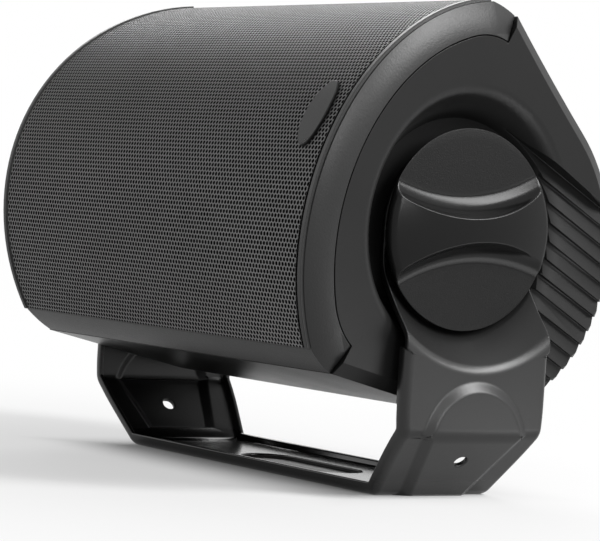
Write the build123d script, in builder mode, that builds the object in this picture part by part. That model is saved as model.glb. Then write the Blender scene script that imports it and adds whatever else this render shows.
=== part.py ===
"""Outdoor patio speaker: a barrel-fronted two-way cabinet that tilts in a pressed U-bracket.

World frame: origin on the floor below the middle of the bracket, X along the cabinet, -Y to the
listener, +Z up. The cabinet is drawn tilted up by tilt_angle, as it stands in its bracket.
Cabinet sizes are named along the cabinet's own directions: X along it, v up its front, u forwards.
"""

import os
from math import acos, asin, atan2, cos, degrees, hypot, radians, sin, sqrt, tan

from build123d import *

# Cabinet, in millimetres and degrees
tilt_angle = 28.7          # how far the front is aimed upwards
pivot_height = 105.3       # pivot axis above the floor
grille_radius = 95.6       # outside of the perforated sheet
grille_centre = -11.4      # u of the sheet's centre line
grille_sheet = 1.0
grille_half_height = 78.3  # v of the sheet's long edges
seam_depth = 28.5          # u of the flat joint between the frame and the shell
seam_half_height = 80.6
back_radius = 66.2
back_centre = -13.8        # u of the centre of the rounded back
end_half_width = 110.0     # X of the end walls at the seam
end_slope = 0.18           # the ends widen towards the front
end_bow_radius = 700.0     # the ends are gently hollow in plan
bevel_across = 12.5        # bevel of the frame round each end, measured on the end wall
bevel_back = 4.4           # the same bevel, measured along X
flank_across = 5.0         # smaller bevel on the shell's ends
flank_back = 3.0
seam_turn = 60.0           # v where the seam leaves the front arc and rounds its corner
side_bulge = 0.5           # bow of the frame's sides between the sheet and the seam
shell_wall = 3.0
seam_gap = 0.4
fit_gap = 0.4              # between mouldings that slide together

# Front frame, grille and badge
bead_rise = 1.4            # raised bead on the frame beside the ends of the sheet
bead_width = 2.2
bead_setback = 0.6
ledge_width = 4.0          # frame ledge behind the edges of the sheet
sheet_clearance = 0.2
lip_thickness = 2.4        # locating lip of the frame inside the shell
lip_top = 32.5             # u of the lip's root
opening_columns = 12       # a coarse grid stands for the sheet's fine holes
opening_rows = 9
opening_pitch = 16.3
opening_turn = 11.4        # degrees from row to row
opening_width = 11.5
opening_height = 13.0
badge_height = 28.6
badge_width = 13.4
badge_thickness = 1.4
badge_glue = 0.1
badge_x = 101.0

# Round recess and ribbed field at each end of the shell
recess_floor = 92.0        # X of the seat round the pivot
recess_rim_radius = 51.5   # recess radius where X is recess_rim_x
recess_rim_x = 106.0
recess_flare = 0.571       # growth of the recess radius along X
recess_rim_fillet = 7.0    # the end wall rolls softly into the recess
rib_count = 14
rib_pitch = 6.5
rib_root = 95.0            # X at the foot of a rib
rib_crest = 97.0           # X at the lip of a rib
rib_field_front = 2.0      # u where the ribbed field starts
rib_backing = 2.6          # plastic left behind the ribs

# Bracket
sheet_metal = 2.2
bracket_base_half = 90.0   # X of the base's ends on the floor
bracket_arm_x = 115.0      # X of the outside of the arms
bracket_bend_height = 26.3
bracket_base_half_depth = 28.6
bracket_arm_half_depth = 35.2
bracket_waist_radius = 90.0  # where the sides turn from the slant to the arm
bracket_flange = 5.1
bracket_bend_radius = 7.0
dish_rim_radius = 53.5
dish_floor_radius = 38.0
dish_bend_radius = 6.0
flange_bend_radius = 3.5   # outside of the bend between the sheet and its flanges
emboss_rise = 2.2
emboss_draft = 60.0        # the sides of the emboss lean far over
emboss_half_width = 25.0   # at the bend
emboss_foot_half_width = 16.0
emboss_apex = 47.0
emboss_closed = 7.0        # height of the foot where the emboss is not pressed from behind
emboss_lap = 0.8           # how far the pressing tools stand past the sheet
arm_hole_height = 16.6
arm_hole_diameter = 5.5
base_slot_length = 72.0
base_slot_width = 24.0

# Pivot hardware
washer_thickness = 1.2
washer_radius = 30.0
knob_radius = 40.0
knob_back_radius = 34.0
knob_disc = 6.9            # from the clamped face to the flat scoop floors
grip_rise = 8.6            # from the scoop floors to the top of the grip bar
grip_end_rise = 2.8        # the same at the ends of the bar
grip_end_radius = 38.6
grip_half_width = 8.7      # half of the grip bar's foot at its waist
grip_end_half_width = 16.6
grip_end_reach = 36.5
grip_draft = 25.0
grip_foot_fillet = 9.0
grip_end_fillet = 6.5
knob_turn = 4.5            # the grip bar rises a little towards the back
stud_diameter = 8.0
stud_clearance = 0.3
stud_fit = 0.06            # radial play of the thread
stud_grip = 5.0            # length held in the knob
stud_reach = 14.0          # length in the insert
insert_radius = 7.0
insert_length = 16.0
boss_wall = 4.0

# Baffle
baffle_front = 58.0        # u of the panel that the drivers sit on
baffle_thickness = 4.0
baffle_half_height = 57.0
baffle_foot_u = 25.5       # u of the front of the foot flanges
baffle_foot_v = 64.5       # v where the skirt meets the foot
baffle_wall = 3.0
gasket_thickness = 1.0
ledge_depth = 18.0         # width of the shell ledge that the foot is screwed to

# Woofer, measured from the baffle front along u
woofer_x = -27.0
woofer_flange_radius = 55.0
woofer_flange = 3.0
woofer_land_radius = 50.0
woofer_land_drop = 1.5
woofer_hole_radius = 49.0
woofer_gasket = 0.8
surround_inner = 36.0
surround_roll = 3.6
surround_skin = 0.8
cone_depth = 15.0
cone_skin = 0.8
coil_radius = 12.9         # outside of the former
former_skin = 0.5
winding = 0.8
coil_gap = 0.6
dust_cap_radius = 17.0
dust_cap_rise = 5.0
spider_depth = 29.0
spider_radius = 28.0
spider_skin = 0.6
basket_depth = 34.0
basket_wall = 2.0
basket_bottom_radius = 31.0
basket_windows = 6
basket_window_share = 0.62
top_plate_radius = 33.0
top_plate = 5.0
magnet_radius = 37.0
magnet = 12.0
magnet_bore = 19.0
back_plate_radius = 34.0
back_plate = 5.0

# Tweeter
tweeter_x = 62.0
tweeter_radius = 26.0
tweeter_plate = 2.5
tweeter_throat = 12.6
tweeter_neck_radius = 19.0
tweeter_neck = 9.0
tweeter_motor = 16.0
tweeter_dome_radius = 10.0
tweeter_dome_rise = 3.6
tweeter_skin = 0.5

# Terminals on the rounded back
terminal_half_width = 32.0
terminal_half_height = 22.0
terminal_floor = -64.0     # u of the floor of the recess
terminal_plate = 2.5
terminal_clearance = 0.5
post_spacing = 19.0
post_radius = 2.4
post_cap_radius = 6.0
post_cap_length = 10.5
post_cap_gap = 0.5
post_collar = 2.0
post_tail = 9.0

# Crossover
board_u = -46.0
board_half_width = 42.0
board_half_height = 30.0
board_thickness = 1.6
board_hole_inset = 5.0
standoff_radius = 3.5
inductor_radius = 14.0
inductor_bore = 5.0
inductor_height = 13.0
capacitor_radius = 7.0
capacitor_length = 30.0
resistor_size = (24.0, 8.0, 8.0)
inductor_place = (-22.0, 8.0)      # X and v on the board
capacitor_place = (4.0, 13.0)
resistor_place = (16.0, -12.0)

# Screws
screw_radius = 1.6
screw_head_radius = 3.2
screw_head = 1.8
screw_length = 11.0
screw_clearance = 0.1

# Directions and planes of the tilted cabinet
tilt = radians(tilt_angle)
forward = (0, -cos(tilt), sin(tilt))
upward = (0, sin(tilt), cos(tilt))
downward = (0, -sin(tilt), -cos(tilt))
pivot = (0, 0, pivot_height)
pivot_axis = Axis(pivot, (1, 0, 0))
facing = Plane(origin=pivot, x_dir=(1, 0, 0), z_dir=forward)     # x = X, y = v, z = u
section = Plane(origin=pivot, x_dir=upward, z_dir=(1, 0, 0))     # x = v, y = u, z = X
plan = Plane(origin=pivot, x_dir=(1, 0, 0), z_dir=downward)      # x = X, y = u
reach = 150.0              # longer than the cabinet in every direction
sides = {"right": 1, "left": -1}

# Places that follow from the sizes
bead_radius = grille_radius + bead_rise / 2
body_radius = bead_radius - bead_rise
grille_angle = degrees(asin(grille_half_height / grille_radius))
ledge_angle = grille_angle - degrees(ledge_width / grille_radius)
tab_inner = recess_floor + washer_thickness
tab_outer = tab_inner + sheet_metal
knob_floor = tab_outer + knob_disc
grip_top = knob_floor + grip_rise
stud_hole_radius = stud_diameter / 2 + stud_clearance
back_u = back_centre - back_radius
rib_half_field = rib_count * rib_pitch / 2


def end_x(u):
    """X of the end wall at depth u."""
    step = u - seam_depth
    return end_half_width + end_slope * step + step * step / (2 * end_bow_radius)


def front_u(radius, v):
    """u of the front arc of a given radius at height v."""
    return grille_centre + sqrt(radius * radius - v * v)


def recess_radius(x):
    """Radius of the round recess at X."""
    return recess_rim_radius + recess_flare * (x - recess_rim_x)


def flank_tangent(v, u):
    """Where the straight flank from (v, u) runs into the rounded back."""
    distance = hypot(v, u - back_centre)
    turn = atan2(u - back_centre, v) - acos(back_radius / distance)
    return back_radius * cos(turn), back_centre + back_radius * sin(turn)


def plan_prism(inset):
    """The cabinet's outline in plan, drawn in by inset and standing higher than the cabinet."""
    with BuildPart() as prism:
        with BuildSketch(plan):
            with BuildLine():
                right = ThreePointArc(
                    (end_x(-reach) - inset, -reach),
                    (end_x(0) - inset, 0),
                    (end_x(reach) - inset, reach),
                )
                left = ThreePointArc(
                    (inset - end_x(reach), reach),
                    (inset - end_x(0), 0),
                    (inset - end_x(-reach), -reach),
                )
                Line(right @ 1, left @ 0)
                Line(left @ 1, right @ 0)
            make_face()
        extrude(amount=reach, both=True)
    return prism.part


def cabinet_profile(inset):
    """The cabinet's outline from the end, drawn in by inset."""
    corner = (grille_half_height, front_u(body_radius, grille_half_height))
    seam = (seam_half_height, seam_depth)
    middle = ((corner[0] + seam[0]) / 2 + side_bulge, (corner[1] + seam[1]) / 2)
    tangent = flank_tangent(*seam)
    with BuildSketch(section) as profile:
        with BuildLine():
            ThreePointArc((-corner[0], corner[1]), (0, grille_centre + body_radius), corner)
            ThreePointArc(corner, middle, seam)
            Line(seam, tangent)
            ThreePointArc(tangent, (0, back_u), (-tangent[0], tangent[1]))
            Line((-tangent[0], tangent[1]), (-seam[0], seam[1]))
            ThreePointArc((-seam[0], seam[1]), (-middle[0], middle[1]), (-corner[0], corner[1]))
        make_face()
        if inset > 0:
            offset(amount=-inset, kind=Kind.INTERSECTION)
    return profile.sketch


def cabinet_form(inset, across, back):
    """The whole outside of the cabinet, or the same form drawn in by inset, with bevelled ends."""
    with BuildPart() as form:
        extrude(cabinet_profile(inset), amount=reach, both=True)
        add(plan_prism(inset), mode=Mode.INTERSECT)
        for end in (form.faces().sort_by(Axis.X)[0], form.faces().sort_by(Axis.X)[-1]):
            chamfer(end.edges(), length=across, length2=back, reference=end)
    return form.part


def seam_outline(inset):
    """What lies within the curved seam on the end walls, at inset from the cabinet's outline."""
    radius = body_radius - inset
    foot = seam_half_height - inset
    turn = (seam_turn, front_u(radius, seam_turn))
    with BuildSketch(section) as outline:
        with BuildLine():
            front = ThreePointArc((-turn[0], turn[1]), (0, grille_centre + radius), turn)
            TangentArc(front @ 1, (foot, seam_depth), tangent=front % 1)
            TangentArc(front @ 0, (-foot, seam_depth), tangent=-(front % 0))
            Polyline((foot, seam_depth), (foot, -reach), (-foot, -reach), (-foot, seam_depth))
        make_face()
    return outline.sketch


def seam_block(back, inset):
    """Everything in front of the flat joint and outside the curved seam on the end walls."""
    with BuildPart() as block:
        with BuildSketch(section):
            with Locations((0, back + reach / 2)):
                Rectangle(2 * reach, reach)
        extrude(amount=reach, both=True)
        extrude(seam_outline(inset), amount=reach, both=True, mode=Mode.SUBTRACT)
    return block.part


def front_band(inner, outer, half_angle, inset):
    """A stretch of the front arc between two radii, with its ends drawn in from the end walls."""
    with BuildPart() as band:
        with BuildSketch(section):
            with BuildLine():
                turn = radians(half_angle)
                low = [(-r * sin(turn), grille_centre + r * cos(turn)) for r in (inner, outer)]
                high = [(-v, u) for v, u in low]
                ThreePointArc(low[0], (0, grille_centre + inner), high[0])
                Line(high[0], high[1])
                ThreePointArc(high[1], (0, grille_centre + outer), low[1])
                Line(low[1], low[0])
            make_face()
        extrude(amount=reach, both=True)
        add(plan_prism(inset), mode=Mode.INTERSECT)
    return band.part


def screws(name, places, plane):
    """A group of like screws with their heads on the plane and their shanks behind it."""
    with BuildPart() as group:
        with BuildSketch(plane):
            with Locations(*places):
                Circle(screw_head_radius)
        extrude(amount=screw_head)
        with BuildSketch(plane):
            with Locations(*places):
                Circle(screw_radius)
        extrude(amount=-screw_length)
    finish(group.part, name)


def finish(part, name):
    """Label a piece and write it to its file."""
    part.label = name
    export_step(part, f"parts/{name}.step")


os.makedirs("parts", exist_ok=True)
shell_form = cabinet_form(0, flank_across, flank_back)
frame_form = cabinet_form(0, bevel_across, bevel_back)
inner_form = cabinet_form(shell_wall, bevel_across, bevel_back)

# Places of the screws
baffle_screw_v = baffle_foot_v + screw_head_radius + 1.3
baffle_screws = [(x, v) for x in (-80, 0, 80) for v in (-baffle_screw_v, baffle_screw_v)]
woofer_screw_radius = (woofer_land_radius + woofer_flange_radius) / 2
woofer_turns = [radians(45 + 90 * quarter) for quarter in range(4)]
woofer_screws = [
    (woofer_x + woofer_screw_radius * cos(a), woofer_screw_radius * sin(a)) for a in woofer_turns
]
tweeter_screw_radius = tweeter_radius - screw_head_radius - 0.6
tweeter_turns = [radians(90 + 120 * third) for third in range(3)]
tweeter_screws = [
    (tweeter_x + tweeter_screw_radius * cos(a), tweeter_screw_radius * sin(a)) for a in tweeter_turns
]
terminal_edge = screw_head_radius + 1.4
terminal_screws = [
    (x * (terminal_half_width - terminal_edge), v * (terminal_half_height - terminal_edge))
    for x in (-1, 1) for v in (-1, 1)
]
board_screws = [
    (x * (board_half_width - board_hole_inset), v * (board_half_height - board_hole_inset))
    for x in (-1, 1) for v in (-1, 1)
]
post_places = [(-post_spacing / 2, 0), (post_spacing / 2, 0)]

# Thickened places inside the shell: recess bowls, rib backing, ledges, terminal well, standoffs
with BuildPart() as shell_blocks:
    for side in sides.values():
        with BuildSketch(plan):
            with BuildLine():
                Polyline(
                    (side * (recess_floor - shell_wall), 0),
                    (side * (recess_floor - shell_wall), recess_radius(recess_floor) + shell_wall),
                    (side * reach, recess_radius(reach) + shell_wall),
                    (side * reach, 0),
                    close=True,
                )
            make_face()
        revolve(axis=pivot_axis)
        with BuildSketch(Plane(origin=pivot, x_dir=upward, z_dir=(side, 0, 0)).offset(recess_floor)):
            Circle(insert_radius + boss_wall)
        extrude(amount=-(insert_length + shell_wall))
        with BuildSketch(facing.offset(rib_field_front)):
            with Locations((side * (rib_root - rib_backing + reach) / 2, 0)):
                Rectangle(reach - rib_root + rib_backing, 2 * (rib_half_field + shell_wall))
        extrude(amount=-reach)
    foot_seat = baffle_foot_u - baffle_wall - gasket_thickness
    for v in (-baffle_screw_v, baffle_screw_v):
        with BuildSketch(facing.offset(foot_seat)):
            with Locations((0, v)):
                Rectangle(2 * reach, ledge_depth)
        extrude(amount=-(screw_length + 2))
    with BuildSketch(facing.offset(terminal_floor + shell_wall)):
        Rectangle(2 * (terminal_half_width + shell_wall), 2 * (terminal_half_height + shell_wall))
    extrude(amount=-reach)
    with BuildSketch(facing.offset(board_u - board_thickness)):
        with Locations(*board_screws):
            Circle(standoff_radius)
    extrude(amount=-reach)
    add(shell_form, mode=Mode.INTERSECT)

# Rear shell: back half of the cabinet and its end walls up to the curved seam
with BuildPart() as rear_shell:
    add(shell_form)
    add(inner_form, mode=Mode.SUBTRACT)
    add(shell_blocks.part)
    add(seam_block(seam_depth, bevel_across), mode=Mode.SUBTRACT)
    for side in sides.values():
        with BuildSketch(plan):
            with BuildLine():
                Polyline(
                    (side * recess_floor, 0),
                    (side * recess_floor, recess_radius(recess_floor)),
                    (side * reach, recess_radius(reach)),
                    (side * reach, 0),
                    close=True,
                )
            make_face()
        revolve(axis=pivot_axis, mode=Mode.SUBTRACT)
        rim = []
        for edge in rear_shell.edges():
            middle = edge @ 0.5
            across = hypot(middle.Y, middle.Z - pivot_height)
            if side * middle.X > rib_crest and abs(across - recess_radius(side * middle.X)) < 0.01:
                rim.append(edge)
        fillet(rim, radius=recess_rim_fillet)
        with BuildSketch(facing.offset(rib_field_front)):
            with BuildLine():
                teeth = [(side * reach, rib_half_field)]
                for rib in range(rib_count):
                    top = rib_half_field - rib * rib_pitch
                    teeth.append((side * rib_root, top))
                    teeth.append((side * rib_crest, top - rib_pitch))
                teeth.append((side * reach, -rib_half_field))
                Polyline(*teeth, close=True)
            make_face()
        extrude(amount=-reach, mode=Mode.SUBTRACT)
        with BuildSketch(Plane(origin=pivot, x_dir=upward, z_dir=(side, 0, 0)).offset(recess_floor)):
            Circle(insert_radius)
        extrude(amount=-insert_length, mode=Mode.SUBTRACT)
    with BuildSketch(facing.offset(terminal_floor)):
        Rectangle(2 * terminal_half_width, 2 * terminal_half_height)
    extrude(amount=-reach, mode=Mode.SUBTRACT)
    with BuildSketch(facing.offset(terminal_floor)):
        with Locations(*post_places):
            Circle(post_radius + 2)
        with Locations(*terminal_screws):
            Circle(screw_radius + screw_clearance)
    extrude(amount=reach / 10, mode=Mode.SUBTRACT)
    with BuildSketch(facing.offset(foot_seat)):
        with Locations(*baffle_screws):
            Circle(screw_radius + screw_clearance)
    extrude(amount=-screw_length, mode=Mode.SUBTRACT)
    with BuildSketch(facing.offset(board_u - board_thickness)):
        with Locations(*board_screws):
            Circle(screw_radius + screw_clearance)
    extrude(amount=-screw_length, mode=Mode.SUBTRACT)
finish(rear_shell.part, "rear_shell")

# Locating lip of the grille frame, inside the shell
lip_outer = seam_half_height - shell_wall - 1.3
with BuildPart() as frame_lip:
    with BuildSketch(section):
        with BuildLine():
            Polyline(
                (lip_outer - lip_thickness, baffle_foot_u),
                (lip_outer, baffle_foot_u),
                (lip_outer, seam_depth + 2 * seam_gap),
                (seam_half_height - shell_wall / 2, seam_depth + 2 * seam_gap),
                (seam_half_height - shell_wall / 2, lip_top),
                (lip_outer - lip_thickness, lip_top),
                close=True,
            )
        make_face()
        mirror(about=Plane.YZ)
    extrude(amount=end_half_width - bevel_across, both=True)

# Grille frame: bevelled end bands, long side bands, bead and ledge round the sheet
with BuildPart() as grille_frame:
    add(frame_form)
    add(front_band(body_radius, bead_radius, grille_angle, bevel_back + bead_setback))
    add(inner_form, mode=Mode.SUBTRACT)
    add(seam_block(seam_depth + seam_gap, bevel_across - seam_gap), mode=Mode.INTERSECT)
    add(frame_lip.part)
    sheet_inset = bevel_back + bead_setback + bead_width
    sheet_back = grille_radius - grille_sheet - sheet_clearance
    add(front_band(sheet_back, reach, grille_angle, sheet_inset), mode=Mode.SUBTRACT)
    add(front_band(reach / 2, reach, ledge_angle, sheet_inset + ledge_width), mode=Mode.SUBTRACT)
finish(grille_frame.part, "grille_frame")

# Grille: rolled sheet with a plain grid of openings in place of its fine holes
sheet_angle = grille_angle - degrees(sheet_clearance / grille_radius)
sheet_end = sheet_inset + sheet_clearance
grid_centre = plan.from_local_coords((0, grille_centre, 0))
with BuildPart() as grille:
    add(front_band(grille_radius - grille_sheet, grille_radius, sheet_angle, sheet_end))
    for row in range(opening_rows):
        turn = radians((row - (opening_rows - 1) / 2) * opening_turn)
        outward = tuple(f * cos(turn) + w * sin(turn) for f, w in zip(forward, upward))
        beside_badge = abs(grille_radius * sin(turn)) < (badge_height + opening_height) / 2
        columns = [(column - (opening_columns - 1) / 2) * opening_pitch for column in range(opening_columns)]
        if beside_badge:
            columns = [x for x in columns if x + opening_width / 2 < badge_x - badge_width / 2]
        with BuildSketch(Plane(origin=grid_centre, x_dir=(1, 0, 0), z_dir=outward)):
            with Locations(*[(x, 0) for x in columns]):
                Rectangle(opening_width, opening_height)
        extrude(amount=reach, mode=Mode.SUBTRACT)
finish(grille.part, "grille")

# Bracket
slant = atan2(bracket_bend_height, bracket_arm_x - bracket_base_half)


def bracket_line(inset):
    """Corners of the U, drawn in by inset, from the left arm's top to the right arm's."""
    arm = bracket_arm_x - inset
    bend = bracket_bend_height + inset * tan(radians(45) - slant / 2)
    foot = bracket_base_half - inset * tan(slant / 2)
    top = pivot_height + bracket_arm_half_depth
    return [(-arm, top), (-arm, bend), (-foot, inset), (foot, inset), (arm, bend), (arm, top)]


def bracket_band(near, far):
    """The U between two insets, as a slab wider than the bracket."""
    with BuildPart() as band:
        with BuildSketch(Plane.XZ):
            with BuildLine():
                outside = FilletPolyline(*bracket_line(near), radius=bracket_bend_radius - near)
                inside = FilletPolyline(*bracket_line(far), radius=bracket_bend_radius - far)
                Line(outside @ 0, inside @ 0)
                Line(outside @ 1, inside @ 1)
            make_face()
        extrude(amount=2 * bracket_arm_half_depth, both=True)
    return band.part


def bracket_side(inset):
    """The bracket's outline from the end, drawn in by inset."""
    base = bracket_base_half_depth - inset
    arm = bracket_arm_half_depth - inset
    with BuildPart() as outline:
        with BuildSketch(Plane.YZ):
            with BuildLine():
                corners = ((arm, pivot_height), (arm, bracket_bend_height), (base, 0))
                FilletPolyline(*corners, radius=bracket_waist_radius)
                FilletPolyline(*[(-y, z) for y, z in corners], radius=bracket_waist_radius)
                Line((-base, 0), (base, 0))
                ThreePointArc((arm, pivot_height), (0, pivot_height + arm), (-arm, pivot_height))
            make_face()
        extrude(amount=reach, both=True)
    return outline.part


def bracket_depth(point):
    """How far a point lies inside the corners of the U."""
    across = abs(point.X)
    slanted = point.Z * cos(slant) - (across - bracket_base_half) * sin(slant)
    return min(point.Z, slanted, bracket_arm_x - across)


def emboss_pads(inset, start, height, bottom):
    """The raised arch of both arms: a pad on the upright and one on the slant, mitred at the bend."""
    bend = (bracket_arm_x, 0, bracket_bend_height)
    upright = Plane(origin=bend, x_dir=(0, 1, 0), z_dir=(1, 0, 0)).offset(-start)
    sloping = Plane(origin=bend, x_dir=(0, 1, 0), z_dir=(sin(slant), 0, -cos(slant))).offset(-start)
    mitre = Plane(origin=bend, x_dir=(0, 1, 0), z_dir=(cos(slant), 0, 1 + sin(slant)))
    grow = start * tan(radians(emboss_draft)) - inset
    half = emboss_half_width + grow
    foot = emboss_foot_half_width + grow
    rise = emboss_apex - bracket_bend_height + grow
    drop = bracket_bend_height / sin(slant)
    lap = 2 * bracket_flange
    with BuildPart() as pads:
        with BuildPart() as upper:
            with BuildSketch(upright):
                with BuildLine():
                    ThreePointArc((half, 0), (0, rise), (-half, 0))
                    Polyline((-half, 0), (-half, -lap), (half, -lap), (half, 0))
                make_face()
            extrude(amount=start + height, taper=emboss_draft)
            split(bisect_by=mitre, keep=Keep.TOP)
        with BuildPart() as lower:
            with BuildSketch(sloping):
                with BuildLine():
                    Polyline((half, lap), (half, 0), (foot, -drop), (foot, -drop - lap),
                             (-foot, -drop - lap), (-foot, -drop), (-half, 0), (-half, lap), close=True)
                make_face()
            extrude(amount=start + height, taper=emboss_draft)
            split(bisect_by=mitre, keep=Keep.BOTTOM)
        add(upper.part)
        add(lower.part)
        split(bisect_by=Plane.XY.offset(bottom), keep=Keep.TOP)
        mirror(about=Plane.YZ)
    return pads.part


with BuildPart() as bracket_hollow:
    add(bracket_band(sheet_metal, bracket_flange + 0.5))
    add(bracket_side(sheet_metal), mode=Mode.INTERSECT)

dish_lean = atan2(bracket_arm_x - tab_outer, dish_rim_radius - dish_floor_radius)
dish_shift = sheet_metal * tan(dish_lean / 2)
dish_overlap = 4.5
with BuildPart() as dishes:
    for side in sides.values():
        with BuildSketch(plan):
            with BuildLine():
                outside = FilletPolyline(
                    (side * tab_outer, stud_hole_radius),
                    (side * tab_outer, dish_floor_radius),
                    (side * bracket_arm_x, dish_rim_radius),
                    (side * bracket_arm_x, dish_rim_radius + dish_overlap),
                    radius=dish_bend_radius,
                )
                inside = FilletPolyline(
                    (side * tab_inner, stud_hole_radius),
                    (side * tab_inner, dish_floor_radius + dish_shift),
                    (side * (bracket_arm_x - sheet_metal), dish_rim_radius + dish_shift),
                    (side * (bracket_arm_x - sheet_metal), dish_rim_radius + dish_overlap),
                    radius=dish_bend_radius,
                )
                Line(outside @ 0, inside @ 0)
                Line(outside @ 1, inside @ 1)
            make_face()
        revolve(axis=pivot_axis)
    add(bracket_side(0), mode=Mode.INTERSECT)

with BuildPart() as emboss:
    add(emboss_pads(0, sheet_metal / 2, emboss_rise + emboss_lap, 0))
    add(bracket_band(-emboss_rise, sheet_metal), mode=Mode.INTERSECT)
with BuildPart() as emboss_pocket:
    pocket_inset = sheet_metal / cos(radians(emboss_draft))
    pocket_lid = emboss_rise - sheet_metal + emboss_lap
    add(emboss_pads(pocket_inset, sheet_metal + emboss_lap, pocket_lid, emboss_closed))
    add(bracket_band(sheet_metal - emboss_rise, bracket_flange), mode=Mode.INTERSECT)

with BuildPart() as mounting_bracket:
    add(bracket_band(0, bracket_flange))
    add(bracket_side(0), mode=Mode.INTERSECT)
    bends = []
    for edge in mounting_bracket.edges():
        middle = edge @ 0.5
        on_side = abs(middle.Y) > bracket_base_half_depth - 1
        if on_side and middle.Z < pivot_height and bracket_depth(middle) < 1:
            bends.append(edge)
    fillet(bends, radius=flange_bend_radius)
    add(bracket_hollow.part, mode=Mode.SUBTRACT)
    for side in sides.values():
        with BuildSketch(Plane(origin=pivot, x_dir=upward, z_dir=(side, 0, 0)).offset(recess_floor)):
            Circle(dish_rim_radius + dish_overlap - 0.5)
        extrude(amount=reach, mode=Mode.SUBTRACT)
    add(dishes.part)
    add(emboss.part)
    add(emboss_pocket.part, mode=Mode.SUBTRACT)
    with BuildSketch(Plane.XY):
        SlotOverall(base_slot_length, base_slot_width)
    extrude(amount=sheet_metal, mode=Mode.SUBTRACT)
    hole_x = bracket_base_half + arm_hole_height / tan(slant)
    for side in sides.values():
        normal = (side * sin(slant), 0, -cos(slant))
        with BuildSketch(Plane(origin=(side * hole_x, 0, arm_hole_height), x_dir=(0, 1, 0), z_dir=normal)):
            Circle(arm_hole_diameter / 2)
        extrude(amount=2 * bracket_flange, both=True, mode=Mode.SUBTRACT)
finish(mounting_bracket.part, "mounting_bracket")

# Badge on the sheet
with BuildPart() as badge:
    with BuildSketch(facing):
        with Locations((badge_x, 0)):
            Ellipse(badge_width / 2, badge_height / 2)
    extrude(amount=reach)
    badge_seat = grille_radius + badge_glue
    add(front_band(badge_seat, badge_seat + badge_thickness, grille_angle, 0), mode=Mode.INTERSECT)
finish(badge.part, "badge")

# Pivot hardware, the same at both ends
for name, side in sides.items():
    seat = Plane(origin=pivot, x_dir=upward, z_dir=(side, 0, 0)).offset(recess_floor)
    with BuildPart() as friction_washer:
        with BuildSketch(seat):
            Circle(washer_radius)
            Circle(insert_radius + boss_wall, mode=Mode.SUBTRACT)
        extrude(amount=washer_thickness)
    finish(friction_washer.part, f"friction_washer_{name}")

    with BuildPart() as pivot_insert:
        with BuildSketch(seat):
            Circle(insert_radius - fit_gap / 4)
            Circle(stud_diameter / 2 + stud_fit, mode=Mode.SUBTRACT)
        extrude(amount=-insert_length)
    finish(pivot_insert.part, f"pivot_insert_{name}")

    with BuildPart() as knob_stud:
        with BuildSketch(seat.offset(-stud_reach)):
            Circle(stud_diameter / 2)
        extrude(amount=stud_reach + tab_outer - recess_floor + stud_grip)
    finish(knob_stud.part, f"knob_stud_{name}")

    turn = radians(knob_turn)
    bar = (0, cos(turn), sin(turn))
    floor = Plane(origin=(side * knob_floor, 0, pivot_height), x_dir=bar, z_dir=(side, 0, 0))
    grip_bow = grip_end_half_width - grip_half_width
    grip_arc = (grip_end_reach ** 2 + grip_bow ** 2) / (2 * grip_bow)
    tool_half = 1.5 * knob_radius
    tool_side = grip_half_width + grip_arc - sqrt(grip_arc ** 2 - tool_half ** 2)
    scoops = []
    for way in (1, -1):
        with BuildPart() as scoop:
            with BuildSketch(floor):
                with BuildLine():
                    ThreePointArc((-tool_half, way * tool_side), (0, way * grip_half_width),
                                  (tool_half, way * tool_side))
                    Polyline((tool_half, way * tool_side), (tool_half, way * 2 * knob_radius),
                             (-tool_half, way * 2 * knob_radius), (-tool_half, way * tool_side))
                make_face()
            extrude(amount=2 * grip_rise, taper=-grip_draft)
            foot = [
                edge for edge in scoop.edges()
                if abs((edge @ 0.5).X - side * knob_floor) < 0.01
                and hypot((edge @ 0.5).Y, (edge @ 0.5).Z - pivot_height) < knob_radius / 2
            ]
            fillet(foot, radius=grip_foot_fillet)
        scoops.append(scoop.part)
    with BuildPart() as clamp_knob:
        with BuildSketch(plan) as knob_outline:
            with BuildLine():
                Polyline(
                    (side * grip_top, 0),
                    (side * tab_outer, 0),
                    (side * tab_outer, knob_back_radius),
                    (side * knob_floor, knob_radius),
                    (side * (knob_floor + grip_end_rise), grip_end_radius),
                )
                crown = (grip_end_radius ** 2 + (grip_rise - grip_end_rise) ** 2)
                crown = crown / (2 * (grip_rise - grip_end_rise))
                half = grip_end_radius / 2
                ThreePointArc(
                    (side * (knob_floor + grip_end_rise), grip_end_radius),
                    (side * (grip_top - crown + sqrt(crown * crown - half * half)), half),
                    (side * grip_top, 0),
                )
            make_face()
            bar_end = (side * (knob_floor + grip_end_rise), grip_end_radius, 0)
            fillet(knob_outline.vertices().sort_by_distance(bar_end)[0], radius=grip_end_fillet)
        revolve(axis=pivot_axis)
        for scoop in scoops:
            add(scoop, mode=Mode.SUBTRACT)
        with BuildSketch(seat.offset(tab_outer - recess_floor)):
            Circle(stud_diameter / 2 + stud_fit)
        extrude(amount=stud_grip, mode=Mode.SUBTRACT)
    finish(clamp_knob.part, f"clamp_knob_{name}")

baffle_half_length = end_half_width - bevel_across

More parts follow.
